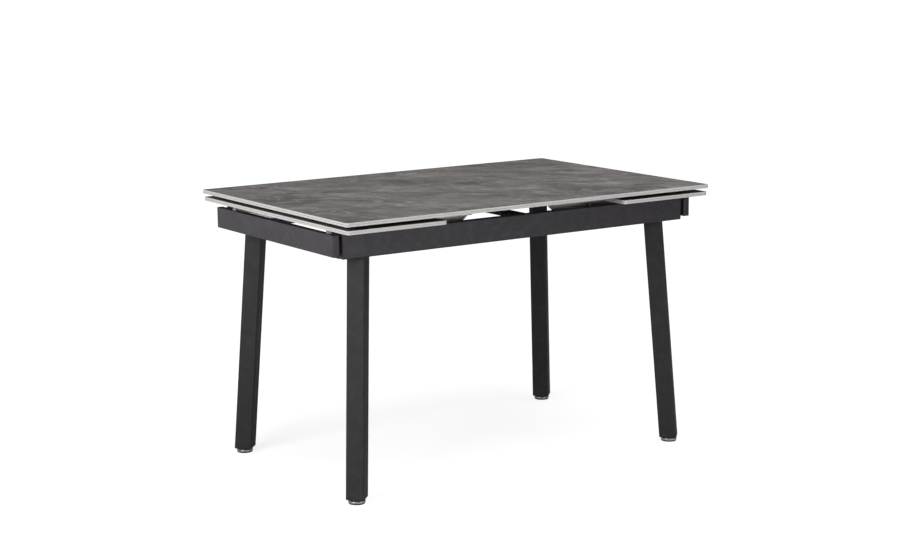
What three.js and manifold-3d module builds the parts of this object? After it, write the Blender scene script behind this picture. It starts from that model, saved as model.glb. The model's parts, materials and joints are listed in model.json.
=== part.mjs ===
// An extendable dining table: a fixed stone-on-glass top, and an end leaf stowed under each end.
// Each leaf slides out of the frame along X with its pull bar, its two runners and its lift arms.
// Millimetres, +Z up. The origin is on the floor, under the centre of the table.

import * as THREE from 'three';
import { mergeVertices } from 'three/addons/utils/BufferGeometryUtils.js';
import Module from 'manifold-3d';

const wasm = await Module();
wasm.setup();

// ---- Driving dimensions ----

const TOP = { length: 1200, width: 800, z: 760, cornerR: 8 };
const STONE_T = 5;
const GLASS_T = 5.3;
const BOND = 0.3; // the glue line between stone and glass, and the gap between touching pieces
const SLAB_T = STONE_T + BOND + GLASS_T;

const LEAF = { length: 302, width: 796, outerX: 596, z: 739.3, cornerR: 9 };
const LEAF_BOTTOM = LEAF.z - SLAB_T;

const RAIL = { halfLength: 566, outerY: 320, thickness: 20, z0: 652.5, z1: 718.5, wall: 1.5 };
const END_BAR = { outerX: 595, thickness: 20, halfWidth: 322, z0: 660.5, z1: 718.5, wall: 2 };
const EDGE_R = 4; // upright edges of the rails and the pull bars
const RAIL_INNER = RAIL.outerY - RAIL.thickness;

const CENTRE_PLATE = { halfX: 30, z0: 712.3, z1: 717.3 };
const CROSSBAR = { width: 30, z0: 658.8, z1: 673.4, wall: 1.5, endX: 551, supportX: 185 };
const BEARER = { halfLength: 262, y: 150, web: 5, flange: 30, flangeT: 5, archZ: 706, notchGap: 2 };
const BEARER_FOOT = { x0: 160, x1: 212, z1: 714 };

const LEG = { side: 50, cornerR: 5, wall: 2, topPlate: 6, floorX: 534, floorY: 312.6, slopeX: 0.0597,
  slopeY: 0.0528, z0: 14, z1: RAIL.z0 - BOND };
const LEG_CAP = { height: 34, boreR: 5.4, clearance: 0.4 };
const MOUNT_PLATE = { x0: 440, x1: 566, y0: 215, thickness: 6 };
const LEG_BOLT = { headR: 8.5, headT: 6, shankR: 5, holeR: 5.5, length: 34 };
const FOOT = { padR: 22, discR: 23, collarR: 19, padZ: 4, discZ: 9, collarZ: 13.7, stemR: 5, stemZ: 44 };

const CHANNEL = { x0: 42, x1: 560, depth: 13.7, z0: 674, z1: 702, wall: 1.5 };
const RUNNER = { x0: 150, x1: 587, depth: 11, z0: 676.5, z1: 699.5, wall: 2, sideGap: 0.7 };
const RUNNER_INNER = RAIL_INNER - BOND - CHANNEL.wall - RUNNER.sideGap - RUNNER.depth;
const ARM = { x0: 137, x1: 568, y0: 254, y1: 282, thickness: 3, flangeZ: 703, noseX: 158, noseZ: 720 };
const LINK = { runnerX: 334, runnerZ: 688, armX: 274, armZ: 711.5, halfH: 7, y0: 262, y1: 267, pinR: 4,
  sink: 1, roundGap: 0.01 };
const TIE = { x0: 520, x1: 550, thickness: 6 };
const BUMPER = { r: 7, y: 256, forward: 28 };

const SIDES = [{ name: 'left', x: -1 }, { name: 'right', x: 1 }];
const FACES = [{ name: 'front', y: -1 }, { name: 'rear', y: 1 }];
const OVERCUT = 1; // how far a cutter stands past the face it cuts
const WELD = 1e-4; // points closer than this are one point
const ARC_STEPS = 6;
const ROUND_STEPS = 28;

// ---- Finishes ----

const FINISHES = {
  stone: { color: 0x6b6a68, roughness: 0.45, metalness: 0.0 },
  glass: { color: 0xc9c8c6, roughness: 0.25, metalness: 0.0 },
  frame: { color: 0x3b3b3d, roughness: 0.5, metalness: 0.3 },
  mechanism: { color: 0x55524e, roughness: 0.45, metalness: 0.6 },
  zinc: { color: 0xb4b6b8, roughness: 0.35, metalness: 0.9 },
  plastic: { color: 0x1c1c1d, roughness: 0.6, metalness: 0.0 },
  bumper: { color: 0xe9e9e6, roughness: 0.3, metalness: 0.0 },
};

const table = new THREE.Group();

function piece(name, finish, geometry) {
  const mesh = new THREE.Mesh(geometry, new THREE.MeshStandardMaterial(FINISHES[finish]));
  mesh.name = name;
  table.add(mesh);
}

// ---- Solids ----

function solid(geometry) {
  const bare = geometry.clone();
  bare.deleteAttribute('normal');
  bare.deleteAttribute('uv');
  const merged = mergeVertices(bare, WELD);
  const vertProperties = new Float32Array(merged.attributes.position.array);
  const triVerts = new Uint32Array(merged.index.array);
  return new wasm.Manifold(new wasm.Mesh({ numProp: 3, vertProperties, triVerts }));
}

function shapeOf(manifold) {
  const mesh = manifold.getMesh();
  const geometry = new THREE.BufferGeometry();
  geometry.setAttribute('position', new THREE.BufferAttribute(new Float32Array(mesh.vertProperties), 3));
  geometry.setIndex(new THREE.BufferAttribute(new Uint32Array(mesh.triVerts), 1));
  geometry.computeVertexNormals();
  return geometry;
}

// A box between two corners, given in any order along each axis.
function block(xa, xb, ya, yb, za, zb) {
  const size = [Math.abs(xb - xa), Math.abs(yb - ya), Math.abs(zb - za)];
  const box = new THREE.BoxGeometry(...size);
  return box.translate((xa + xb) / 2, (ya + yb) / 2, (za + zb) / 2);
}

function roundedRectangle(width, depth, r) {
  const x = width / 2 - r;
  const y = depth / 2 - r;
  const outline = new THREE.Shape();
  outline.absarc(x, y, r, 0, Math.PI / 2);
  outline.absarc(-x, y, r, Math.PI / 2, Math.PI);
  outline.absarc(-x, -y, r, Math.PI, 1.5 * Math.PI);
  outline.absarc(x, -y, r, 1.5 * Math.PI, 2 * Math.PI);
  outline.closePath();
  return outline;
}

function upright(outline, z0, z1) {
  const shape = { depth: z1 - z0, bevelEnabled: false, curveSegments: ARC_STEPS };
  return new THREE.ExtrudeGeometry(outline, shape).translate(0, 0, z0);
}

function rod(r, x, y, z0, z1) {
  const cylinder = new THREE.CylinderGeometry(r, r, z1 - z0, ROUND_STEPS).rotateX(Math.PI / 2);
  return cylinder.translate(x, y, (z0 + z1) / 2);
}

function crossRod(r, x, ya, yb, z) {
  const cylinder = new THREE.CylinderGeometry(r, r, Math.abs(yb - ya), ROUND_STEPS);
  return cylinder.translate(x, (ya + yb) / 2, z);
}

// ---- Stone slabs bonded to glass ----

function slab(names, centreX, size, topZ) {
  const outline = roundedRectangle(size.length, size.width, size.cornerR);
  const glassTop = topZ - STONE_T - BOND;
  piece(names.stone, 'stone', upright(outline, topZ - STONE_T, topZ).translate(centreX, 0, 0));
  piece(names.glass, 'glass', upright(outline, glassTop - GLASS_T, glassTop).translate(centreX, 0, 0));
}

// ---- Frame ----

// A long side rail: a closed rectangular tube with two vent holes in its inner face.
function sideRail(face) {
  const y = face.y * (RAIL.outerY - RAIL.thickness / 2);
  const ventX = 400;
  const ventR = 4;
  const ventZ = RAIL.z0 + 14;
  const plan = roundedRectangle(2 * RAIL.halfLength, RAIL.thickness, EDGE_R);
  const skin = solid(upright(plan, RAIL.z0, RAIL.z1).translate(0, y, 0));
  const half = RAIL.thickness / 2 - RAIL.wall;
  const inside = solid(block(-RAIL.halfLength + RAIL.wall, RAIL.halfLength - RAIL.wall, y - half, y + half,
    RAIL.z0 + RAIL.wall, RAIL.z1 - RAIL.wall));
  let tube = skin.subtract(inside);
  for (const side of SIDES) {
    tube = tube.subtract(solid(crossRod(ventR, side.x * ventX, y, y - face.y * RAIL.thickness, ventZ)));
  }
  piece(`rail_${face.name}`, 'frame', shapeOf(tube));
}

// A tube along Y that fits between the two side rails, open at both ends.
function crossTube(name, centreX, halfX, z0, z1, wall) {
  const end = RAIL_INNER - BOND;
  const outer = solid(block(centreX - halfX, centreX + halfX, -end, end, z0, z1));
  const inner = solid(block(centreX - halfX + wall, centreX + halfX - wall, -end - OVERCUT, end + OVERCUT,
    z0 + wall, z1 - wall));
  piece(name, 'frame', shapeOf(outer.subtract(inner)));
}

// An L-section that carries the top. It arches over the centre plate, and stands on the support crossbars.
function topBearer(face) {
  const z1 = TOP.z - SLAB_T - BOND;
  const y = face.y * BEARER.y;
  const inner = y - face.y * BEARER.web;
  const lip = y - face.y * BEARER.flange;
  const half = BEARER.halfLength;
  const bridge = CENTRE_PLATE.halfX + BEARER.notchGap;
  let bearer = solid(block(-half, half, y, inner, BEARER.archZ, z1));
  bearer = bearer.add(solid(block(-half, half, y, lip, z1 - BEARER.flangeT, z1)));
  for (const side of SIDES) {
    bearer = bearer.add(solid(block(side.x * BEARER_FOOT.x0, side.x * BEARER_FOOT.x1, y, inner,
      CROSSBAR.z1 + BOND, BEARER_FOOT.z1)));
  }
  bearer = bearer.subtract(solid(block(-bridge, bridge, y + face.y * OVERCUT, lip, BEARER.archZ - OVERCUT,
    CENTRE_PLATE.z1 + BOND)));
  piece(`top_bearer_${face.name}`, 'frame', shapeOf(bearer));
}

// A flat plate across the middle of the frame, between the two rails.
function centrePlate() {
  const end = RAIL_INNER - BOND;
  piece('centre_plate', 'frame', block(-CENTRE_PLATE.halfX, CENTRE_PLATE.halfX, -end, end, CENTRE_PLATE.z0,
    CENTRE_PLATE.z1));
}

// ---- Legs ----

function legCentre(side, face, z) {
  return [side.x * (LEG.floorX - LEG.slopeX * z), face.y * (LEG.floorY - LEG.slopeY * z)];
}

// A square bar along the leg's leaning axis, its flat faces turned to the diagonals.
// Both ends are cut level.
function leaningBar(side, face, width, r, z0, z1) {
  const reach = 80;
  const [footX, footY] = legCentre(side, face, z0);
  const [topX, topY] = legCentre(side, face, z1);
  const along = new THREE.Vector3(topX - footX, topY - footY, z1 - z0).normalize();
  const lean = new THREE.Quaternion().setFromUnitVectors(new THREE.Vector3(0, 0, 1), along);
  const bar = upright(roundedRectangle(width, width, r), -reach, z1 - z0 + reach);
  bar.rotateZ(Math.PI / 4).applyQuaternion(lean).translate(footX, footY, z0);
  const slice = block(footX - side.x * 2 * reach, footX + side.x * reach, footY - face.y * 2 * reach,
    footY + face.y * reach, z0, z1);
  return solid(bar).intersect(solid(slice));
}

function leg(side, face) {
  const corner = `${face.name}_${side.name}`;
  const [boltX, boltY] = legCentre(side, face, LEG.z1);
  const [footX, footY] = legCentre(side, face, 0);
  const hollow = LEG.side - 2 * LEG.wall;
  const hollowTop = LEG.z1 - LEG.topPlate;
  const hollowR = LEG.cornerR - LEG.wall;

  const tube = leaningBar(side, face, LEG.side, LEG.cornerR, LEG.z0, LEG.z1)
    .subtract(leaningBar(side, face, hollow, hollowR, LEG.z0 - OVERCUT, hollowTop))
    .subtract(solid(rod(LEG_BOLT.holeR, boltX, boltY, hollowTop - OVERCUT, LEG.z1 + OVERCUT)));
  piece(`leg_${corner}`, 'frame', shapeOf(tube));

  const plug = hollow - 2 * LEG_CAP.clearance;
  const cap = leaningBar(side, face, plug, hollowR, LEG.z0, LEG.z0 + LEG_CAP.height)
    .subtract(solid(rod(LEG_CAP.boreR, footX, footY, LEG.z0 - OVERCUT,
      LEG.z0 + LEG_CAP.height + OVERCUT)));
  piece(`leg_cap_${corner}`, 'plastic', shapeOf(cap));

  const plateTop = RAIL.z0 + MOUNT_PLATE.thickness;
  const plate = solid(block(side.x * MOUNT_PLATE.x0, side.x * MOUNT_PLATE.x1, face.y * MOUNT_PLATE.y0,
    face.y * (RAIL_INNER - BOND), RAIL.z0, plateTop));
  const boltHole = solid(rod(LEG_BOLT.holeR, boltX, boltY, RAIL.z0 - OVERCUT, plateTop + OVERCUT));
  piece(`mount_plate_${corner}`, 'frame', shapeOf(plate.subtract(boltHole)));

  const headZ = plateTop + BOND;
  const bolt = new THREE.LatheGeometry([
    new THREE.Vector2(0, headZ - LEG_BOLT.length),
    new THREE.Vector2(LEG_BOLT.shankR, headZ - LEG_BOLT.length),
    new THREE.Vector2(LEG_BOLT.shankR, headZ),
    new THREE.Vector2(LEG_BOLT.headR, headZ),
    new THREE.Vector2(LEG_BOLT.headR, headZ + LEG_BOLT.headT),
    new THREE.Vector2(0, headZ + LEG_BOLT.headT),
  ], ROUND_STEPS);
  piece(`leg_bolt_${corner}`, 'zinc', bolt.rotateX(Math.PI / 2).translate(boltX, boltY, 0));

  const foot = new THREE.LatheGeometry([
    new THREE.Vector2(0, 0),
    new THREE.Vector2(FOOT.padR, 0),
    new THREE.Vector2(FOOT.padR, FOOT.padZ),
    new THREE.Vector2(FOOT.discR, FOOT.padZ),
    new THREE.Vector2(FOOT.discR, FOOT.discZ),
    new THREE.Vector2(FOOT.collarR, FOOT.discZ),
    new THREE.Vector2(FOOT.collarR, FOOT.collarZ),
    new THREE.Vector2(FOOT.stemR, FOOT.collarZ),
    new THREE.Vector2(FOOT.stemR, FOOT.stemZ),
    new THREE.Vector2(0, FOOT.stemZ),
  ], ROUND_STEPS);
  piece(`foot_${corner}`, 'zinc', foot.rotateX(Math.PI / 2).translate(footX, footY, 0));
}

// ---- Slides and leaves ----

// A C-section on the rail's inner face, open towards the middle of the table.
function slideChannel(side, face) {
  const back = face.y * (RAIL_INNER - BOND);
  const front = back - face.y * CHANNEL.depth;
  const x0 = side.x * CHANNEL.x0;
  const x1 = side.x * CHANNEL.x1;
  const outer = solid(block(x0, x1, back, front, CHANNEL.z0, CHANNEL.z1));
  const groove = solid(block(x0 - side.x * OVERCUT, x1 + side.x * OVERCUT, back - face.y * CHANNEL.wall,
    front - face.y * OVERCUT, CHANNEL.z0 + CHANNEL.wall, CHANNEL.z1 - CHANNEL.wall));
  piece(`slide_channel_${face.name}_${side.name}`, 'mechanism', shapeOf(outer.subtract(groove)));
}

// The sliding member: a tube open at both ends, with a hole for the lift link's pin in its inner wall.
function slideRunner(side, face) {
  const y0 = face.y * RUNNER_INNER;
  const y1 = face.y * (RUNNER_INNER + RUNNER.depth);
  const wall = RUNNER.wall;
  const x0 = side.x * RUNNER.x0;
  const x1 = side.x * RUNNER.x1;
  const outer = solid(block(x0, x1, y0, y1, RUNNER.z0, RUNNER.z1));
  const bore = solid(block(x0 - side.x * OVERCUT, x1 + side.x * OVERCUT, y0 + face.y * wall,
    y1 - face.y * wall, RUNNER.z0 + wall, RUNNER.z1 - wall));
  const pinHole = solid(crossRod(LINK.pinR + BOND, side.x * LINK.runnerX, y0 - face.y * OVERCUT,
    y0 + face.y * 2 * wall, LINK.runnerZ));
  piece(`slide_runner_${face.name}_${side.name}`, 'zinc', shapeOf(outer.subtract(bore).subtract(pinHole)));
}

// An angle section under the leaf. Its upright flange hangs beside the runner and takes the link's pin,
// and is cut back on a slant at the inner end.
function liftArm(side, face) {
  const z1 = LEAF_BOTTOM - BOND;
  const x0 = side.x * ARM.x0;
  const x1 = side.x * ARM.x1;
  const shelf = solid(block(x0, x1, face.y * ARM.y0, face.y * ARM.y1, z1 - ARM.thickness, z1));
  const flange = solid(block(x0, x1, face.y * ARM.y0, face.y * (ARM.y0 + ARM.thickness), ARM.flangeZ, z1));
  const pinHole = solid(crossRod(LINK.pinR + BOND, side.x * LINK.armX, face.y * (ARM.y0 - OVERCUT),
    face.y * (ARM.y0 + ARM.thickness + OVERCUT), LINK.armZ));
  const nose = new THREE.Shape([
    new THREE.Vector2(ARM.x0 - OVERCUT, ARM.flangeZ - OVERCUT),
    new THREE.Vector2(ARM.noseX, ARM.flangeZ - OVERCUT),
    new THREE.Vector2(ARM.noseX, ARM.flangeZ),
    new THREE.Vector2(ARM.x0, ARM.noseZ),
    new THREE.Vector2(ARM.x0 - OVERCUT, ARM.noseZ),
  ]);
  const depth = ARM.thickness + 2 * OVERCUT;
  const wedge = new THREE.ExtrudeGeometry(nose, { depth, bevelEnabled: false });
  wedge.translate(0, 0, -depth / 2).rotateX(Math.PI / 2);
  wedge.translate(0, face.y * (ARM.y0 + ARM.thickness / 2), 0);
  if (side.x < 0) {
    wedge.rotateZ(Math.PI).translate(0, face.y * (2 * ARM.y0 + ARM.thickness), 0);
  }
  const angle = shelf.add(flange).subtract(pinHole).subtract(solid(wedge));
  piece(`lift_arm_${face.name}_${side.name}`, 'zinc', shapeOf(angle));
}

// The link that swings the arm up: a round-ended plate with a pin at each end.
function liftLink(side, face) {
  const runX = LINK.armX - LINK.runnerX;
  const runZ = LINK.armZ - LINK.runnerZ;
  const span = Math.hypot(runX, runZ);
  const outline = roundedRectangle(span + 2 * LINK.halfH, 2 * LINK.halfH, LINK.halfH - LINK.roundGap);
  const depth = LINK.y1 - LINK.y0;
  const shape = { depth, bevelEnabled: false, curveSegments: ARC_STEPS };
  const plate = new THREE.ExtrudeGeometry(outline, shape);
  plate.translate(0, 0, -depth / 2).rotateX(Math.PI / 2).rotateY(-side.x * Math.atan2(runZ, runX));
  plate.translate(side.x * (LINK.armX + LINK.runnerX) / 2, face.y * (LINK.y0 + depth / 2),
    (LINK.armZ + LINK.runnerZ) / 2);
  const runnerPin = crossRod(LINK.pinR, side.x * LINK.runnerX, face.y * (LINK.y0 + LINK.sink),
    face.y * (RUNNER_INNER + RUNNER.depth / 2), LINK.runnerZ);
  const armPin = crossRod(LINK.pinR, side.x * LINK.armX, face.y * (ARM.y0 - LINK.sink),
    face.y * (LINK.y1 - LINK.sink), LINK.armZ);
  const link = solid(plate).add(solid(runnerPin)).add(solid(armPin));
  piece(`lift_link_${face.name}_${side.name}`, 'mechanism', shapeOf(link));
}

// The pull bar: a closed tube whose inner face has a slot for the end of each runner.
function endBar(side) {
  const x = side.x * (END_BAR.outerX - END_BAR.thickness / 2);
  const slotGap = 1;
  const half = END_BAR.thickness / 2 - END_BAR.wall;
  const plan = roundedRectangle(END_BAR.thickness, 2 * END_BAR.halfWidth, EDGE_R);
  let tube = solid(upright(plan, END_BAR.z0, END_BAR.z1).translate(x, 0, 0));
  tube = tube.subtract(solid(block(x - half, x + half, -END_BAR.halfWidth + END_BAR.wall,
    END_BAR.halfWidth - END_BAR.wall, END_BAR.z0 + END_BAR.wall, END_BAR.z1 - END_BAR.wall)));
  for (const face of FACES) {
    tube = tube.subtract(solid(block(x, x - side.x * END_BAR.thickness, face.y * (RUNNER_INNER - slotGap),
      face.y * (RUNNER_INNER + RUNNER.depth + slotGap), RUNNER.z0 - slotGap, RUNNER.z1 + slotGap)));
  }
  piece(`end_bar_${side.name}`, 'frame', shapeOf(tube));
}

function bumper(side, face) {
  const x = side.x * (END_BAR.outerX - END_BAR.thickness / 2);
  const shape = rod(BUMPER.r, x, face.y * BUMPER.y - BUMPER.forward, END_BAR.z1 + BOND, LEAF_BOTTOM - BOND);
  piece(`bumper_${face.name}_${side.name}`, 'bumper', shape);
}

function leafUnit(side) {
  const names = { stone: `leaf_stone_${side.name}`, glass: `leaf_glass_${side.name}` };
  slab(names, side.x * (LEAF.outerX - LEAF.length / 2), LEAF, LEAF.z);
  endBar(side);
  const tieEnd = ARM.y0 - BOND;
  const tieTop = LEAF_BOTTOM - BOND;
  piece(`leaf_tie_${side.name}`, 'mechanism', block(side.x * TIE.x0, side.x * TIE.x1, -tieEnd, tieEnd,
    tieTop - TIE.thickness, tieTop));
  for (const face of FACES) {
    slideRunner(side, face);
    liftArm(side, face);
    liftLink(side, face);
    bumper(side, face);
  }
}

// ---- The table ----

slab({ stone: 'top_stone', glass: 'top_glass' }, 0, TOP, TOP.z);
centrePlate();
for (const face of FACES) {
  sideRail(face);
  topBearer(face);
}
for (const side of SIDES) {
  const half = CROSSBAR.width / 2;
  crossTube(`end_crossbar_${side.name}`, side.x * CROSSBAR.endX, half, CROSSBAR.z0, CROSSBAR.z1,
    CROSSBAR.wall);
  crossTube(`support_crossbar_${side.name}`, side.x * CROSSBAR.supportX, half, CROSSBAR.z0, CROSSBAR.z1,
    CROSSBAR.wall);
  leafUnit(side);
  for (const face of FACES) {
    leg(side, face);
    slideChannel(side, face);
  }
}

export default table;
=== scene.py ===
import json
import math

import bmesh
import bpy
from mathutils import Matrix, Vector


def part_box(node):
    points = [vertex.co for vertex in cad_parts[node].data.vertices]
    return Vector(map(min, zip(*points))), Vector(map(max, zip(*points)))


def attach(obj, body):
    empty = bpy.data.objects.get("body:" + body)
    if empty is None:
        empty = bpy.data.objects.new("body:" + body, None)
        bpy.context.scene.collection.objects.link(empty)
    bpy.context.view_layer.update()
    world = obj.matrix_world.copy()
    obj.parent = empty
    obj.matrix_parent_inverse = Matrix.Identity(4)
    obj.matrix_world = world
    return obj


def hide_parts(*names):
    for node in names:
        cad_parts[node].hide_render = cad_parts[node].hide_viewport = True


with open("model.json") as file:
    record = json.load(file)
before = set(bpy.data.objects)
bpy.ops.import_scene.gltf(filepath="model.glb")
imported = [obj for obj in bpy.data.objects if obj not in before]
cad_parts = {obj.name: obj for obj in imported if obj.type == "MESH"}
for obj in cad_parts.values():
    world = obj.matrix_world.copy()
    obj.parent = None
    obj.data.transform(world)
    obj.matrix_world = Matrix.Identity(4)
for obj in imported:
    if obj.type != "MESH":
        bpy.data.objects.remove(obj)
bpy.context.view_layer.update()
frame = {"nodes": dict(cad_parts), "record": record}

# The looks of an extendable dining table: stone-faced slabs, a powder-coated frame and its slides.
# Metres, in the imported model's own frame: +X along the table, +Z up, the floor at z = 0.

SIDES = {"left": -1, "right": 1}
FACES = {"front": -1, "rear": 1}
CORNERS = [f"{face}_{side}" for face in FACES for side in SIDES]
MM = 0.001

# ---- Camera, lights and floor ----

CAMERA_AZIMUTH = -34.02
CAMERA_ELEVATION = 10.32
CAMERA_ROLL = -0.55
CAMERA_DISTANCE = 5.519
CAMERA_TARGET = Vector((0.003, 0.0, 0.5048))
CAMERA_LENS = 75.7
SENSOR_WIDTH = 36

LIGHTS = [  # name, place, point it faces, width and height, power in watts
    ("key_left", (-4.0, -1.4, 1.9), (0, 0, 0.6), (2.6, 2.2), 110),
    ("overhead", (0.2, -0.8, 3.1), (0.1, -0.2, 0.7), (3.2, 2.0), 52),
    ("front_fill", (1.1, -4.4, 0.8), (0, 0, 0.55), (2.6, 1.3), 35),
    ("left_strip", (-3.1, 3.1, 0.8), (-0.4, 0, 0.6), (1.3, 1.0), 17),
]
BACKDROP_STRENGTH = 1.05    # what the camera sees behind the table
AMBIENT_STRENGTH = 0.17     # what the table is lit by from all round
WHITE = (1, 1, 1, 1)

FLOOR_HALF = 60.0
FLOOR_COLOUR = (0.55, 0.55, 0.55, 1)
GLOW_NEAR, GLOW_FAR = (0.8, 0.77), (4.5, 0.94)    # distance from the middle, and the glow there


def make_camera():
    azimuth, elevation = math.radians(CAMERA_AZIMUTH), math.radians(CAMERA_ELEVATION)
    back = Vector((
        math.sin(azimuth) * math.cos(elevation),
        -math.cos(azimuth) * math.cos(elevation),
        math.sin(elevation),
    ))
    camera = bpy.data.objects.new("camera", bpy.data.cameras.new("camera"))
    bpy.context.scene.collection.objects.link(camera)
    camera.data.lens = CAMERA_LENS
    camera.data.sensor_width = SENSOR_WIDTH
    camera.location = CAMERA_TARGET + back * CAMERA_DISTANCE
    aim = (-back).to_track_quat("-Z", "Y").to_matrix().to_4x4()
    roll = Matrix.Rotation(math.radians(CAMERA_ROLL), 4, "Z")
    camera.rotation_euler = (aim @ roll).to_euler()
    bpy.context.scene.camera = camera


def area_light(name, place, aim, size, power):
    light = bpy.data.lights.new(name, "AREA")
    light.shape = "RECTANGLE"
    light.size, light.size_y = size
    light.energy = power
    holder = bpy.data.objects.new(name, light)
    bpy.context.scene.collection.objects.link(holder)
    holder.location = place
    holder.rotation_euler = (Vector(aim) - Vector(place)).to_track_quat("-Z", "Y").to_euler()


def make_studio():
    for light in LIGHTS:
        area_light(*light)

    world = bpy.data.worlds.new("studio")
    bpy.context.scene.world = world
    world.use_nodes = True
    nodes, links = world.node_tree.nodes, world.node_tree.links
    nodes.clear()
    output = nodes.new("ShaderNodeOutputWorld")
    mix = nodes.new("ShaderNodeMixShader")
    path = nodes.new("ShaderNodeLightPath")
    links.new(path.outputs["Is Camera Ray"], mix.inputs["Fac"])
    for socket, strength in ((1, AMBIENT_STRENGTH), (2, BACKDROP_STRENGTH)):
        background = nodes.new("ShaderNodeBackground")
        background.inputs["Color"].default_value = WHITE
        background.inputs["Strength"].default_value = strength
        links.new(background.outputs["Background"], mix.inputs[socket])
    links.new(mix.outputs["Shader"], output.inputs["Surface"])

    scene = bpy.context.scene
    scene.view_settings.view_transform = "Standard"
    scene.view_settings.look = "None"
    scene.view_settings.exposure = 0


def make_floor():
    """A very large pale floor. Only the camera sees its glow, which rises outwards and hides the horizon."""
    mesh = bpy.data.meshes.new("floor")
    corners = [(x * FLOOR_HALF, y * FLOOR_HALF, 0) for x, y in ((-1, -1), (1, -1), (1, 1), (-1, 1))]
    mesh.from_pydata(corners, [], [(0, 1, 2, 3)])
    floor = bpy.data.objects.new("floor", mesh)
    bpy.context.scene.collection.objects.link(floor)
    material, nodes, links, shader = new_material("studio_floor")
    shader.inputs["Base Color"].default_value = FLOOR_COLOUR
    shader.inputs["Roughness"].default_value = 0.9
    shader.inputs["Specular IOR Level"].default_value = 0.1
    shader.inputs["Emission Color"].default_value = WHITE
    place = nodes.new("ShaderNodeTexCoord")
    length = nodes.new("ShaderNodeVectorMath")
    length.operation = "LENGTH"
    links.new(place.outputs["Object"], length.inputs[0])
    near, near_glow = GLOW_NEAR
    far, far_glow = GLOW_FAR
    glow = remap(nodes, links, length.outputs["Value"], near, far, near_glow, far_glow)
    seen = nodes.new("ShaderNodeLightPath").outputs["Is Camera Ray"]
    links.new(calc(nodes, links, "MULTIPLY", glow, seen), shader.inputs["Emission Strength"])
    mesh.materials.append(material)


# ---- Materials ----


def new_material(name):
    material = bpy.data.materials.new(name)
    material.use_nodes = True
    nodes, links = material.node_tree.nodes, material.node_tree.links
    return material, nodes, links, nodes["Principled BSDF"]


def coordinates(nodes, links, scale=(1, 1, 1), shift=(0, 0, 0)):
    """The piece's own coordinates, in metres, scaled and shifted."""
    place = nodes.new("ShaderNodeTexCoord")
    mapping = nodes.new("ShaderNodeMapping")
    mapping.inputs["Scale"].default_value = scale
    mapping.inputs["Location"].default_value = shift
    links.new(place.outputs["Object"], mapping.inputs["Vector"])
    return mapping.outputs["Vector"]


def noise(nodes, links, vector, scale, detail=4.0, roughness=0.5, distortion=0.0):
    texture = nodes.new("ShaderNodeTexNoise")
    texture.inputs["Scale"].default_value = scale
    texture.inputs["Detail"].default_value = detail
    texture.inputs["Roughness"].default_value = roughness
    texture.inputs["Distortion"].default_value = distortion
    links.new(vector, texture.inputs["Vector"])
    return texture


def ramp(nodes, links, value, stops):
    """A colour ramp. Its stops are (position, colour)."""
    node = nodes.new("ShaderNodeValToRGB")
    elements = node.color_ramp.elements
    for index, (position, colour) in enumerate(stops):
        element = elements[index] if index < 2 else elements.new(position)
        element.position = position
        element.color = (*colour, 1)
    links.new(value, node.inputs["Fac"])
    return node.outputs["Color"]


def grey(value):
    return (value, value, value)


def mix_colour(nodes, links, factor, first, second, mode="MIX"):
    """Mixes two colours. Each of the three inputs is a socket or a plain value."""
    node = nodes.new("ShaderNodeMix")
    node.data_type = "RGBA"
    node.blend_type = mode
    for socket, value in (("Factor", factor), ("A", first), ("B", second)):
        target = [s for s in node.inputs if s.name == socket and s.enabled][0]
        if isinstance(value, bpy.types.NodeSocket):
            links.new(value, target)
        elif isinstance(value, tuple):
            target.default_value = (*value, 1)
        else:
            target.default_value = value
    return [s for s in node.outputs if s.enabled][0]


def calc(nodes, links, operation, *values):
    """A maths node on sockets or numbers."""
    node = nodes.new("ShaderNodeMath")
    node.operation = operation
    for socket, value in zip(node.inputs, values):
        if isinstance(value, bpy.types.NodeSocket):
            links.new(value, socket)
        else:
            socket.default_value = value
    return node.outputs[0]


def remap(nodes, links, value, low, high, new_low, new_high):
    """Maps the range from low to high onto the range from new_low to new_high, and clamps."""
    node = nodes.new("ShaderNodeMapRange")
    numbers = {"From Min": low, "From Max": high, "To Min": new_low, "To Max": new_high}
    for name, number in numbers.items():
        node.inputs[name].default_value = number
    links.new(value, node.inputs["Value"])
    return node.outputs[0]


def bump(nodes, links, shader, height, strength, distance):
    node = nodes.new("ShaderNodeBump")
    node.inputs["Strength"].default_value = strength
    node.inputs["Distance"].default_value = distance
    links.new(height, node.inputs["Height"])
    links.new(node.outputs["Normal"], shader.inputs["Normal"])


def tinted(nodes, links, base, value, start, full, strength, colour):
    """Lays a colour over base, from nothing where value is start up to strength where it is full."""
    factor = remap(nodes, links, value, start, full, 0.0, strength)
    return mix_colour(nodes, links, factor, base, colour)


def stretched(nodes, links, vector, heading, long, short):
    """Coordinates in which a pattern is drawn out along a heading, in degrees from +X in plan."""
    mapping = nodes.new("ShaderNodeMapping")
    mapping.vector_type = "TEXTURE"
    mapping.inputs["Rotation"].default_value = (0, 0, math.radians(heading))
    mapping.inputs["Scale"].default_value = (long, short, 1)
    links.new(vector, mapping.inputs["Vector"])
    return mapping.outputs["Vector"]


def warped(nodes, links, vector, scale, reach):
    """Coordinates pushed about by a slow noise, so that nothing runs quite straight."""
    push = noise(nodes, links, vector, scale, 5, 0.6)
    bent = nodes.new("ShaderNodeVectorMath")
    bent.operation = "MULTIPLY_ADD"
    bent.inputs[1].default_value = (reach, reach, reach)
    links.new(push.outputs["Color"], bent.inputs[0])
    links.new(vector, bent.inputs[2])
    return bent.outputs[0]


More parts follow.
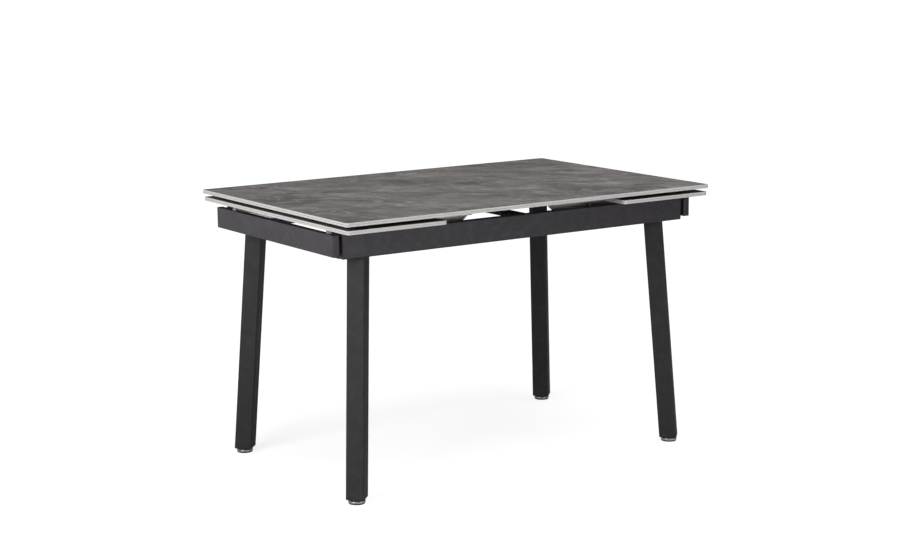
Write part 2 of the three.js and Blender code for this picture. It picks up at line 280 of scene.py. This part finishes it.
STONE_TONES = [
    (0.38, (0.082, 0.078, 0.077)),
    (0.46, (0.142, 0.135, 0.133)),
    (0.54, (0.200, 0.190, 0.186)),
    (0.62, (0.290, 0.276, 0.268)),
]
STONE_WARM = (0.202, 0.180, 0.170)
STONE_COOL = (0.150, 0.155, 0.148)
STONE_PATCH = (0.086, 0.080, 0.080)
STONE_THREAD = (0.350, 0.328, 0.313)
STONE_SMUDGE = (0.070, 0.065, 0.065)
STONE_VEIN = (0.460, 0.432, 0.412)
STREAK_HEADING = -36      # degrees from +X, seen from above
SMUDGE_HEADING = -44
VEINS = [  # heading, noise scale, width, strength
    (-80, 1.5, 0.0075, 0.55),
    (-34, 2.2, 0.0060, 0.40),
    (-86, 2.9, 0.0065, 0.42),
]
COOL_SHIFT = (3.1, 1.7, 0)    # so that the cool patches lie elsewhere than the warm ones


def stone_face(name, shift):
    """Dark grey-brown sintered stone: diagonal streaks, warm and cool patches, thin pale veins."""
    material, nodes, links, shader = new_material(name)
    plain = coordinates(nodes, links, shift=shift)
    bent = warped(nodes, links, plain, 2.8, 0.20)
    streaky = stretched(nodes, links, bent, STREAK_HEADING, 1.0, 0.42)
    smeared = stretched(nodes, links, bent, SMUDGE_HEADING, 1.0, 0.34)

    clouds = noise(nodes, links, streaky, 5.0, 12, 0.78, 0.35).outputs["Fac"]
    base = ramp(nodes, links, clouds, STONE_TONES)
    warm = noise(nodes, links, bent, 4.5, 5, 0.6).outputs["Fac"]
    base = tinted(nodes, links, base, warm, 0.44, 0.60, 0.40, STONE_WARM)
    cool_place = coordinates(nodes, links, shift=COOL_SHIFT)
    cool = noise(nodes, links, cool_place, 3.2, 5, 0.6).outputs["Fac"]
    base = tinted(nodes, links, base, cool, 0.48, 0.64, 0.30, STONE_COOL)

    patches = noise(nodes, links, bent, 1.7, 4, 0.55).outputs["Fac"]
    base = tinted(nodes, links, base, patches, 0.50, 0.64, 0.45, STONE_PATCH)
    threads = noise(nodes, links, streaky, 15.0, 8, 0.72, 0.7).outputs["Fac"]
    base = tinted(nodes, links, base, threads, 0.53, 0.61, 0.50, STONE_THREAD)
    smudges = noise(nodes, links, smeared, 8.0, 9, 0.72, 1.0).outputs["Fac"]
    base = tinted(nodes, links, base, smudges, 0.54, 0.62, 0.55, STONE_SMUDGE)

    gaps = noise(nodes, links, plain, 5.5, 4, 0.6).outputs["Fac"]
    broken = remap(nodes, links, gaps, 0.46, 0.62, 0.0, 1.0)
    for heading, scale, width, strength in VEINS:
        drawn = stretched(nodes, links, bent, heading, 1.0, 0.33)
        ridge = noise(nodes, links, drawn, scale, 3, 0.5, 0.25).outputs["Fac"]
        distance = calc(nodes, links, "ABSOLUTE", calc(nodes, links, "SUBTRACT", ridge, 0.5))
        vein = remap(nodes, links, distance, 0.0, width, strength, 0.0)
        factor = calc(nodes, links, "MULTIPLY", vein, broken)
        base = mix_colour(nodes, links, factor, base, STONE_VEIN)

    grain = noise(nodes, links, plain, 420, 3, 0.7).outputs["Fac"]
    grains = ramp(nodes, links, grain, [(0.3, grey(0.2)), (0.7, grey(0.8))])
    base = mix_colour(nodes, links, 0.10, base, grains, "OVERLAY")
    links.new(base, shader.inputs["Base Color"])
    links.new(remap(nodes, links, clouds, 0.3, 0.7, 0.58, 0.46), shader.inputs["Roughness"])
    shader.inputs["Specular IOR Level"].default_value = 0.28
    relief = calc(nodes, links, "ADD", grain, calc(nodes, links, "MULTIPLY", clouds, 2.0))
    bump(nodes, links, shader, relief, 0.12, 0.0004)
    return material


def slab_edge(name, colour, layer, roughness):
    """The cut edge of a slab: pale, with faint layers and fine speckle."""
    material, nodes, links, shader = new_material(name)
    layered = coordinates(nodes, links, scale=(2, 2, 620))
    bands = noise(nodes, links, layered, 1.0, 3, 0.6).outputs["Fac"]
    speckle = noise(nodes, links, coordinates(nodes, links), 900, 2, 0.7).outputs["Fac"]
    tone = ramp(nodes, links, bands, [(0.35, layer), (0.62, colour)])
    dots = ramp(nodes, links, speckle, [(0.30, grey(0.25)), (0.55, grey(0.6))])
    links.new(mix_colour(nodes, links, 0.22, tone, dots, "OVERLAY"), shader.inputs["Base Color"])
    shader.inputs["Roughness"].default_value = roughness
    shader.inputs["Specular IOR Level"].default_value = 0.4
    bump(nodes, links, shader, speckle, 0.1, 0.0002)
    return material


# How strongly and how much paler the coat's rounded edges are painted: partly handling wear, partly a
# painted highlight along the edges.
WEAR_AND_HIGHLIGHT_REACH = 0.55
WEAR_AND_HIGHLIGHT_PALER = 3.2


def powder_coat(name, colour, roughness, gloss=0.45):
    """Fine orange-peel powder coat, painted a little paler at the rounded edges: partly handling wear,
    partly a painted highlight along the edges.
    """
    material, nodes, links, shader = new_material(name)
    plain = coordinates(nodes, links)
    peel = noise(nodes, links, plain, 760, 3, 0.55).outputs["Fac"]
    pits = nodes.new("ShaderNodeTexVoronoi")
    pits.inputs["Scale"].default_value = 520
    links.new(plain, pits.inputs["Vector"])
    broad = noise(nodes, links, plain, 5, 4, 0.6).outputs["Fac"]
    pale = tuple(c * 1.02 for c in colour)
    deep = tuple(c * 0.98 for c in colour)
    tone = ramp(nodes, links, broad, [(0.35, deep), (0.65, pale)])
    # Paler rounded edges in patches: partly wear, partly a painted highlight.
    wear_and_highlight_mask = nodes.new("ShaderNodeAttribute")
    wear_and_highlight_mask.attribute_name = "edge_wear_and_highlight"
    edge_noise = noise(nodes, links, plain, 38, 6, 0.7).outputs["Fac"]
    edge_patches = remap(nodes, links, edge_noise, 0.45, 0.7, 0.30, 1.0)
    worn_and_lit = calc(nodes, links, "MULTIPLY", wear_and_highlight_mask.outputs["Fac"], edge_patches)
    worn_and_lit = calc(nodes, links, "MULTIPLY", worn_and_lit, WEAR_AND_HIGHLIGHT_REACH)
    tone = mix_colour(nodes, links, worn_and_lit, tone, tuple(c * WEAR_AND_HIGHLIGHT_PALER for c in colour))
    links.new(tone, shader.inputs["Base Color"])
    uneven = noise(nodes, links, plain, 60, 4).outputs["Fac"]
    matt = remap(nodes, links, uneven, 0.3, 0.7, roughness - 0.01, roughness + 0.02)
    links.new(matt, shader.inputs["Roughness"])
    shader.inputs["Specular IOR Level"].default_value = gloss
    relief = calc(nodes, links, "ADD", peel, calc(nodes, links, "MULTIPLY", pits.outputs["Distance"], 0.6))
    bump(nodes, links, shader, relief, 0.06, 0.0002)
    return material


def plated_steel(name, colour, grain_scale, roughness=0.3):
    """Zinc-plated or brushed steel with fine lines along the grain and a mottled plating."""
    material, nodes, links, shader = new_material(name)
    lines = coordinates(nodes, links, scale=grain_scale)
    brushed = noise(nodes, links, lines, 1.0, 4, 0.6).outputs["Fac"]
    mottle = noise(nodes, links, coordinates(nodes, links), 90, 5, 0.65).outputs["Fac"]
    tone = ramp(nodes, links, mottle, [(0.35, tuple(c * 0.86 for c in colour)), (0.62, colour)])
    links.new(tone, shader.inputs["Base Color"])
    shader.inputs["Metallic"].default_value = 1.0
    blend = calc(nodes, links, "ADD", calc(nodes, links, "MULTIPLY", brushed, 0.6),
                 calc(nodes, links, "MULTIPLY", mottle, 0.4))
    links.new(remap(nodes, links, blend, 0.35, 0.65, roughness - 0.08, roughness + 0.12),
              shader.inputs["Roughness"])
    bump(nodes, links, shader, brushed, 0.12, 0.0001)
    return material


def moulded_plastic(name, colour, roughness=0.55):
    """Matt moulded plastic or rubber with a fine spark-eroded grain."""
    material, nodes, links, shader = new_material(name)
    plain = coordinates(nodes, links)
    grain = noise(nodes, links, plain, 1100, 2, 0.6).outputs["Fac"]
    dust = noise(nodes, links, plain, 45, 5, 0.7).outputs["Fac"]
    tone = ramp(nodes, links, dust, [(0.4, colour), (0.75, tuple(c * 1.5 + 0.006 for c in colour))])
    links.new(tone, shader.inputs["Base Color"])
    links.new(remap(nodes, links, dust, 0.3, 0.7, roughness - 0.06, roughness + 0.1),
              shader.inputs["Roughness"])
    bump(nodes, links, shader, grain, 0.2, 0.0001)
    return material


def clear_bumper(name):
    """Soft clear plastic, slightly cloudy."""
    material, nodes, links, shader = new_material(name)
    cloudy = noise(nodes, links, coordinates(nodes, links), 260, 3, 0.6).outputs["Fac"]
    tone = ramp(nodes, links, cloudy, [(0.3, (0.80, 0.81, 0.80)), (0.7, (0.93, 0.94, 0.93))])
    links.new(tone, shader.inputs["Base Color"])
    links.new(remap(nodes, links, cloudy, 0.3, 0.7, 0.12, 0.24), shader.inputs["Roughness"])
    shader.inputs["Transmission Weight"].default_value = 0.75
    shader.inputs["IOR"].default_value = 1.45
    return material


# ---- Mesh tools ----

SMOOTH_ANGLE = math.radians(32)    # a flatter edge than this is shaded smooth
BEVEL_ANGLE = math.radians(50)     # a sharper edge than this is rounded
FLAT_ANGLE = math.radians(1.5)     # faces this close to one plane are one face
SAME_POINT = 2e-6
ON_THE_AXIS = 1e-7
ON_THE_RIM = 0.00005
NORMAL_WEIGHT = 60                 # over 50, the larger faces decide the shading


def finish_mesh(name, form, materials, body, node=None):
    """Turns a bmesh into a shaded piece that rides on a body, and that may stand for a CAD node."""
    bmesh.ops.recalc_face_normals(form, faces=form.faces)
    for edge in form.edges:
        edge.smooth = len(edge.link_faces) != 2 or edge.calc_face_angle(0) < SMOOTH_ANGLE
    for face in form.faces:
        face.smooth = True
    mesh = bpy.data.meshes.new(name)
    form.to_mesh(mesh)
    form.free()
    for material in materials:
        mesh.materials.append(material)
    piece = bpy.data.objects.new(name, mesh)
    bpy.context.scene.collection.objects.link(piece)
    shading = piece.modifiers.new("weighted", "WEIGHTED_NORMAL")
    shading.keep_sharp = True
    shading.weight = NORMAL_WEIGHT
    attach(piece, body)
    if node:
        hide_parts(node)
    return piece


def node_form(node):
    """A CAD node's shape with its flat faces whole again."""
    form = bmesh.new()
    form.from_mesh(frame["nodes"][node].data)
    bmesh.ops.remove_doubles(form, verts=form.verts, dist=SAME_POINT)
    bmesh.ops.dissolve_limit(form, angle_limit=FLAT_ANGLE, verts=form.verts, edges=form.edges)
    return form


def soften(form, width, segments, wanted):
    """Rounds the sharp edges, or only those that wanted() picks, and marks them for the coat's paler edge
    colour, which is partly wear and partly a painted highlight.
    """
    layer = form.verts.layers.float.new("edge_wear_and_highlight")
    sharp = [
        e for e in form.edges
        if len(e.link_faces) == 2 and e.calc_face_angle(0) > BEVEL_ANGLE
        and (wanted is None or wanted(e))
    ]
    made = bmesh.ops.bevel(form, geom=sharp, offset=width, offset_type="OFFSET", segments=segments,
                           profile=0.5, affect="EDGES", clamp_overlap=True)
    for vertex in made["verts"]:
        vertex[layer] = 1.0


def rim_edge(node):
    """Picks the edges round the node's top face and round its bottom face."""
    low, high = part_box(node)

    def wanted(edge):
        heights = [v.co.z for v in edge.verts]
        return any(all(abs(z - limit) < ON_THE_RIM for z in heights) for limit in (low[2], high[2]))

    return wanted


def lathe(form, profile, centre, steps=64):
    """Adds a turned shape about the upright line through centre. The profile is a list of (radius, z)."""
    rings = []
    for radius, z in profile:
        if radius < ON_THE_AXIS:
            rings.append([form.verts.new((centre[0], centre[1], z))])
            continue
        ring = []
        for step in range(steps):
            turn = 2 * math.pi * step / steps
            x, y = centre[0] + radius * math.cos(turn), centre[1] + radius * math.sin(turn)
            ring.append(form.verts.new((x, y, z)))
        rings.append(ring)
    for lower, upper in zip(rings, rings[1:]):
        for step in range(steps):
            after = (step + 1) % steps
            if len(lower) == 1:
                form.faces.new((lower[0], upper[step], upper[after]))
            elif len(upper) == 1:
                form.faces.new((lower[step], lower[after], upper[0]))
            else:
                form.faces.new((lower[step], lower[after], upper[after], upper[step]))


def arc(centre_r, centre_z, radius, start, end, steps=5):
    """Points of an arc for a turned profile. Angles are in degrees from the +r direction."""
    points = []
    for step in range(steps + 1):
        turn = math.radians(start + (end - start) * step / steps)
        points.append((centre_r + radius * math.cos(turn), centre_z + radius * math.sin(turn)))
    return points


def body_of_node(node):
    """The name of the body that a CAD node belongs to."""
    for body, members in frame["record"]["behaviour"]["bodies"].items():
        if node in members:
            return body


# ---- Slabs ----

TOP_CORNER_R = 8 * MM
LEAF_CORNER_R = 9 * MM
CORNER_STEPS = 20
ARRIS = 0.7 * MM
ARRIS_STEPS = 4
STONE_EDGE = (0.72, 0.692, 0.680)
STONE_EDGE_LAYER = (0.66, 0.635, 0.622)
GLASS_EDGE = (0.69, 0.670, 0.662)
GLASS_EDGE_LAYER = (0.635, 0.617, 0.610)
GLASS_BACK = (0.10, 0.10, 0.10)
LEAF_SHIFT = (1.7, 0.6)    # so that no leaf shows the same stone as the top


def rounded_ring(low, high, corner, inset):
    """The outline of a plate with round corners, drawn in by inset."""
    radius = corner - inset
    points = []
    for quarter, (sx, sy) in enumerate(((1, 1), (-1, 1), (-1, -1), (1, -1))):
        cx = (high[0] if sx > 0 else low[0]) - sx * corner
        cy = (high[1] if sy > 0 else low[1]) - sy * corner
        for step in range(CORNER_STEPS + 1):
            turn = math.pi / 2 * (quarter + step / CORNER_STEPS)
            points.append((cx + radius * math.cos(turn), cy + radius * math.sin(turn)))
    return points


def plate(name, node, corner, materials):
    """A slab with round corners and a small rounded arris. Its materials are face, edge and back."""
    low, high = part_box(node)
    profile = []
    for step in range(ARRIS_STEPS + 1):
        turn = math.pi / 2 * step / ARRIS_STEPS
        profile.append((ARRIS * (1 - math.sin(turn)), low[2] + ARRIS * (1 - math.cos(turn))))
    for step in range(ARRIS_STEPS + 1):
        turn = math.pi / 2 * step / ARRIS_STEPS
        profile.append((ARRIS * (1 - math.cos(turn)), high[2] - ARRIS * (1 - math.sin(turn))))
    form = bmesh.new()
    rings = []
    for inset, z in profile:
        rings.append([form.verts.new((x, y, z)) for x, y in rounded_ring(low, high, corner, inset)])
    for lower, upper in zip(rings, rings[1:]):
        for index in range(len(lower)):
            after = (index + 1) % len(lower)
            face = form.faces.new((lower[index], lower[after], upper[after], upper[index]))
            face.material_index = 1
    form.faces.new(reversed(rings[0])).material_index = 2
    form.faces.new(rings[-1]).material_index = 0
    return finish_mesh(name, form, materials, body_of_node(node), node)


def make_slabs():
    edge = slab_edge("stone_edge", STONE_EDGE, STONE_EDGE_LAYER, 0.5)
    glass_edge = slab_edge("glass_edge", GLASS_EDGE, GLASS_EDGE_LAYER, 0.3)
    glass_back = moulded_plastic("glass_back", GLASS_BACK, 0.35)
    units = [("top", "top_stone", "top_glass", TOP_CORNER_R, (0, 0, 0))]
    for index, side in enumerate(SIDES):
        shift = (LEAF_SHIFT[0] + index, LEAF_SHIFT[1], 0)
        units.append((f"leaf_{side}", f"leaf_stone_{side}", f"leaf_glass_{side}", LEAF_CORNER_R, shift))
    for name, stone, glass, corner, shift in units:
        face = stone_face(f"{name}_stone_face", shift)
        plate(f"{name}_stone_slab", stone, corner, [face, edge, edge])
        plate(f"{name}_glass_sheet", glass, corner, [glass_back, glass_edge, glass_back])


# ---- Frame ----

FRAME_COAT = (0.0262, 0.0230, 0.0282)
# The legs get the frame's powder coat painted darker: painted shade on the legs.
LEG_SHADED_COAT = (0.0120, 0.0115, 0.0129)
LEG_GLOSS = 0.39


def refined(node, width, segments, material, wanted=None):
    """The node's own shape with its sharp edges rounded, which stands for the node."""
    form = node_form(node)
    soften(form, width, segments, wanted)
    return finish_mesh(f"{node}_piece", form, [material], body_of_node(node), node)


def make_frame():
    coat = powder_coat("frame_powder_coat", FRAME_COAT, 0.42)
    for face in FACES:
        refined(f"rail_{face}", 3.4 * MM, 6, coat, rim_edge(f"rail_{face}"))
        refined(f"top_bearer_{face}", 0.6 * MM, 3, coat)
    refined("centre_plate", 0.5 * MM, 3, coat)
    for side in SIDES:
        refined(f"end_bar_{side}", 2.6 * MM, 5, coat, rim_edge(f"end_bar_{side}"))
        refined(f"end_crossbar_{side}", 0.5 * MM, 3, coat)
        refined(f"support_crossbar_{side}", 0.5 * MM, 3, coat)
    # A darker copy of the frame coat for the legs, as painted shade.
    leg_shaded_coat = powder_coat("leg_powder_coat_shaded", LEG_SHADED_COAT, 0.48, LEG_GLOSS)
    for corner in CORNERS:
        refined(f"leg_{corner}", 0.5 * MM, 3, leg_shaded_coat)
        refined(f"mount_plate_{corner}", 0.8 * MM, 3, coat)
    make_welds(coat)


WELD_R = 1.9 * MM
WELD_PITCH = 2.4 * MM
WELD_RIPPLES = 4      # rings in one pitch
WELD_SWELL = 0.09     # of the radius
WELD_STEPS = 12
WELD_MARGIN = 2 * MM
WELD_SINK = 0.2 * MM
WELD_DROP = 0.3 * MM
STITCH = 22 * MM      # length of a short bead on a leg plate
STITCHES = 3


def weld(name, x0, x1, y, z, material):
    """A rippled weld bead along X, in the corner between a cross member and a rail."""
    length = x1 - x0
    count = round(length / WELD_PITCH) * WELD_RIPPLES
    profile = [(0, 0)]
    for step in range(1, count):
        along = length * step / count
        end = min(along, length - along) / (2 * WELD_R)
        taper = math.sqrt(1 - (1 - min(end, 1)) ** 2)
        wave = 1 + WELD_SWELL * math.cos(2 * math.pi * step / WELD_RIPPLES)
        profile.append((WELD_R * taper * wave, along))
    profile.append((0, length))
    form = bmesh.new()
    lathe(form, profile, (0, 0), WELD_STEPS)
    form.transform(Matrix.Translation((x0, y, z)) @ Matrix.Rotation(math.pi / 2, 4, "Y"))
    finish_mesh(name, form, [material], "frame")


def make_welds(material):
    """Beads where the crossbars, the centre plate and the leg plates meet the rails."""
    members = ["centre_plate"]
    members += [f"{kind}_crossbar_{side}" for kind in ("end", "support") for side in SIDES]
    for face, outwards in FACES.items():
        joint_y = outwards * (abs(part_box("centre_plate")[0][1]) - WELD_SINK)
        for member in members:
            low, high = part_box(member)
            start, end = low[0] + WELD_MARGIN, high[0] - WELD_MARGIN
            weld(f"weld_{member}_{face}", start, end, joint_y, low[2] - WELD_DROP, material)
        for side in SIDES:
            low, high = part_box(f"mount_plate_{face}_{side}")
            spacing = (high[0] - low[0] - 2 * WELD_MARGIN - STITCH) / (STITCHES - 1)
            for index in range(STITCHES):
                start = low[0] + WELD_MARGIN + index * spacing
                name = f"weld_plate_{face}_{side}_{index}"
                weld(name, start, start + STITCH, joint_y, high[2] + WELD_DROP, material)


# ---- Slides, lift arms and fasteners ----

DARK_COAT = (0.075, 0.071, 0.066)
ZINC = (0.66, 0.67, 0.68)
SATIN_STEEL = (0.42, 0.41, 0.39)
BLACK_PLASTIC = (0.014, 0.014, 0.015)
# The pin cap's near-white colour below is partly the nylon's own and partly a painted highlight that keeps
# it bright in the shade.
PALE_NYLON_HIGHLIGHT = (0.62, 0.62, 0.60)

RIVET_R = 4.6 * MM
RIVET_WALL = 0.9 * MM       # height of its straight side
RIVET_DOME = 1.8 * MM
RIVET_SEAT = 0.5 * MM       # how deep it is set into the link
RIVET_INSET = 7 * MM        # from the link's end and from its top
RIVET_FACE = 267 * MM       # the link's face towards the rail, from the middle of the table
RIVET_STEPS = 32
DOME_STEPS = 6

BUMPER_CHAMFER = 0.4 * MM
BUMPER_DOME = 2.0 * MM
BUMPER_STEPS = 48


def make_mechanism():
    dark = powder_coat("mechanism_coat", DARK_COAT, 0.4)
    zinc_long = plated_steel("zinc_plate_along", ZINC, (3, 260, 260))
    zinc = plated_steel("zinc_plate", ZINC, (160, 160, 160))
    satin = plated_steel("satin_steel", SATIN_STEEL, (4, 240, 240), 0.38)
    plastic = moulded_plastic("black_plastic", BLACK_PLASTIC)
    bumper = clear_bumper("clear_bumper")
    # The pin caps: near-white, partly a painted highlight.
    nylon = moulded_plastic("white_nylon_highlight", PALE_NYLON_HIGHLIGHT, 0.4)
    foot_set = (
        moulded_plastic("foot_rubber", FOOT_RUBBER, 0.7),
        plated_steel("foot_steel", FOOT_STEEL, (120, 120, 900), 0.24),
        moulded_plastic("foot_collar", FOOT_COLLAR, 0.5),
    )
    for corner in CORNERS:
        refined(f"slide_channel_{corner}", 0.3 * MM, 2, dark)
        refined(f"slide_runner_{corner}", 0.6 * MM, 3, zinc_long)
        refined(f"lift_arm_{corner}", 0.5 * MM, 3, satin)
        refined(f"lift_link_{corner}", 0.4 * MM, 2, dark)
        make_rivet(corner, nylon)
        refined(f"leg_cap_{corner}", 0.6 * MM, 3, plastic)
        refined(f"leg_bolt_{corner}", 0.5 * MM, 2, zinc)
        make_bumper(corner, bumper)
        make_foot(corner, *foot_set)
    for side in SIDES:
        refined(f"leaf_tie_{side}", 0.6 * MM, 3, dark)


def make_rivet(corner, material):
    """The domed nylon cap on the pin that joins the link to the arm, on the link's face towards the rail.
    Its near-white colour is partly the nylon's own and partly a painted highlight, so that it shows bright
    in the shade.
    """
    link = f"lift_link_{corner}"
    low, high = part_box(link)
    outwards = math.copysign(1, low[1])
    inner_end = min(abs(low[0]), abs(high[0]))
    place = Vector((
        math.copysign(inner_end + RIVET_INSET, low[0]),
        outwards * (RIVET_FACE - RIVET_SEAT),
        high[2] - RIVET_INSET,
    ))
    form = bmesh.new()
    profile = [(0, 0), (RIVET_R, 0), (RIVET_R, RIVET_WALL)]
    for step in range(1, DOME_STEPS):
        turn = math.pi / 2 * step / DOME_STEPS
        profile.append((RIVET_R * math.cos(turn), RIVET_WALL + RIVET_DOME * math.sin(turn)))
    profile.append((0, RIVET_WALL + RIVET_DOME))
    lathe(form, profile, (0, 0), RIVET_STEPS)
    form.transform(Matrix.Translation(place) @ Matrix.Rotation(-outwards * math.pi / 2, 4, "X"))
    finish_mesh(f"rivet_{corner}", form, [material], body_of_node(link))


def make_bumper(corner, material):
    """A small round bumper with a domed top."""
    node = f"bumper_{corner}"
    low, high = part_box(node)
    centre = (low + high) / 2
    radius = (high[0] - low[0]) / 2
    form = bmesh.new()
    profile = [(0, low[2]), (radius - BUMPER_CHAMFER, low[2]), (radius, low[2] + BUMPER_CHAMFER)]
    profile += arc(radius - BUMPER_DOME, high[2] - BUMPER_DOME, BUMPER_DOME, 0, 90)
    profile.append((0, high[2]))
    lathe(form, profile, centre, BUMPER_STEPS)
    finish_mesh(f"{node}_piece", form, [material], body_of_node(node), node)


# ---- Levelling feet ----

FOOT_RUBBER = (0.020, 0.020, 0.021)
FOOT_STEEL = (0.72, 0.73, 0.74)
FOOT_COLLAR = (0.016, 0.016, 0.018)

PAD_TOP, DISC_TOP, COLLAR_TOP = 4.0 * MM, 9.0 * MM, 13.7 * MM    # heights above the floor
PAD_INSET, COLLAR_INSET = 1.0 * MM, 4 * MM    # how much smaller in radius than the disc
PAD_FILLET, DISC_FILLET, COLLAR_FILLET = 1.2 * MM, 0.9 * MM, 1 * MM
STEM_R = 5 * MM
STEM_CHAMFER = 0.5 * MM
THREAD_PITCH, THREAD_DEPTH = 1.5 * MM, 0.45 * MM


def make_foot(corner, rubber, steel, plastic):
    """A levelling foot in three parts: a rubber pad, a steel disc, and a plastic collar with its stem."""
    node = f"foot_{corner}"
    low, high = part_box(node)
    centre = (low + high) / 2
    radius = (high[0] - low[0]) / 2

    form = bmesh.new()
    pad_r = radius - PAD_INSET
    profile = [(0, 0.0)]
    profile += arc(pad_r - PAD_FILLET, PAD_FILLET, PAD_FILLET, -90, 0)
    profile += [(pad_r, PAD_TOP), (0, PAD_TOP)]
    lathe(form, profile, centre)
    finish_mesh(f"foot_pad_{corner}", form, [rubber], node)

    form = bmesh.new()
    profile = [(0, PAD_TOP)]
    profile += arc(radius - DISC_FILLET, PAD_TOP + DISC_FILLET, DISC_FILLET, -90, 0)
    profile += arc(radius - DISC_FILLET, DISC_TOP - DISC_FILLET, DISC_FILLET, 0, 90)
    profile.append((0, DISC_TOP))
    lathe(form, profile, centre)
    finish_mesh(f"foot_disc_{corner}", form, [steel], node, node)

    form = bmesh.new()
    collar_r = radius - COLLAR_INSET
    profile = [(0, DISC_TOP), (collar_r, DISC_TOP)]
    profile += arc(collar_r - COLLAR_FILLET, COLLAR_TOP - COLLAR_FILLET, COLLAR_FILLET, 0, 90)
    profile.append((STEM_R, COLLAR_TOP))
    z = COLLAR_TOP + THREAD_PITCH
    while z < high[2] - THREAD_PITCH:
        profile += [(STEM_R, z), (STEM_R - THREAD_DEPTH, z + THREAD_PITCH / 2)]
        z += THREAD_PITCH
    profile += [(STEM_R, high[2] - STEM_CHAMFER), (STEM_R - STEM_CHAMFER, high[2]), (0, high[2])]
    lathe(form, profile, centre)
    finish_mesh(f"foot_stem_{corner}", form, [plastic], node)


# ---- The scene ----

make_camera()
make_studio()
make_floor()
make_slabs()
make_frame()
make_mechanism()
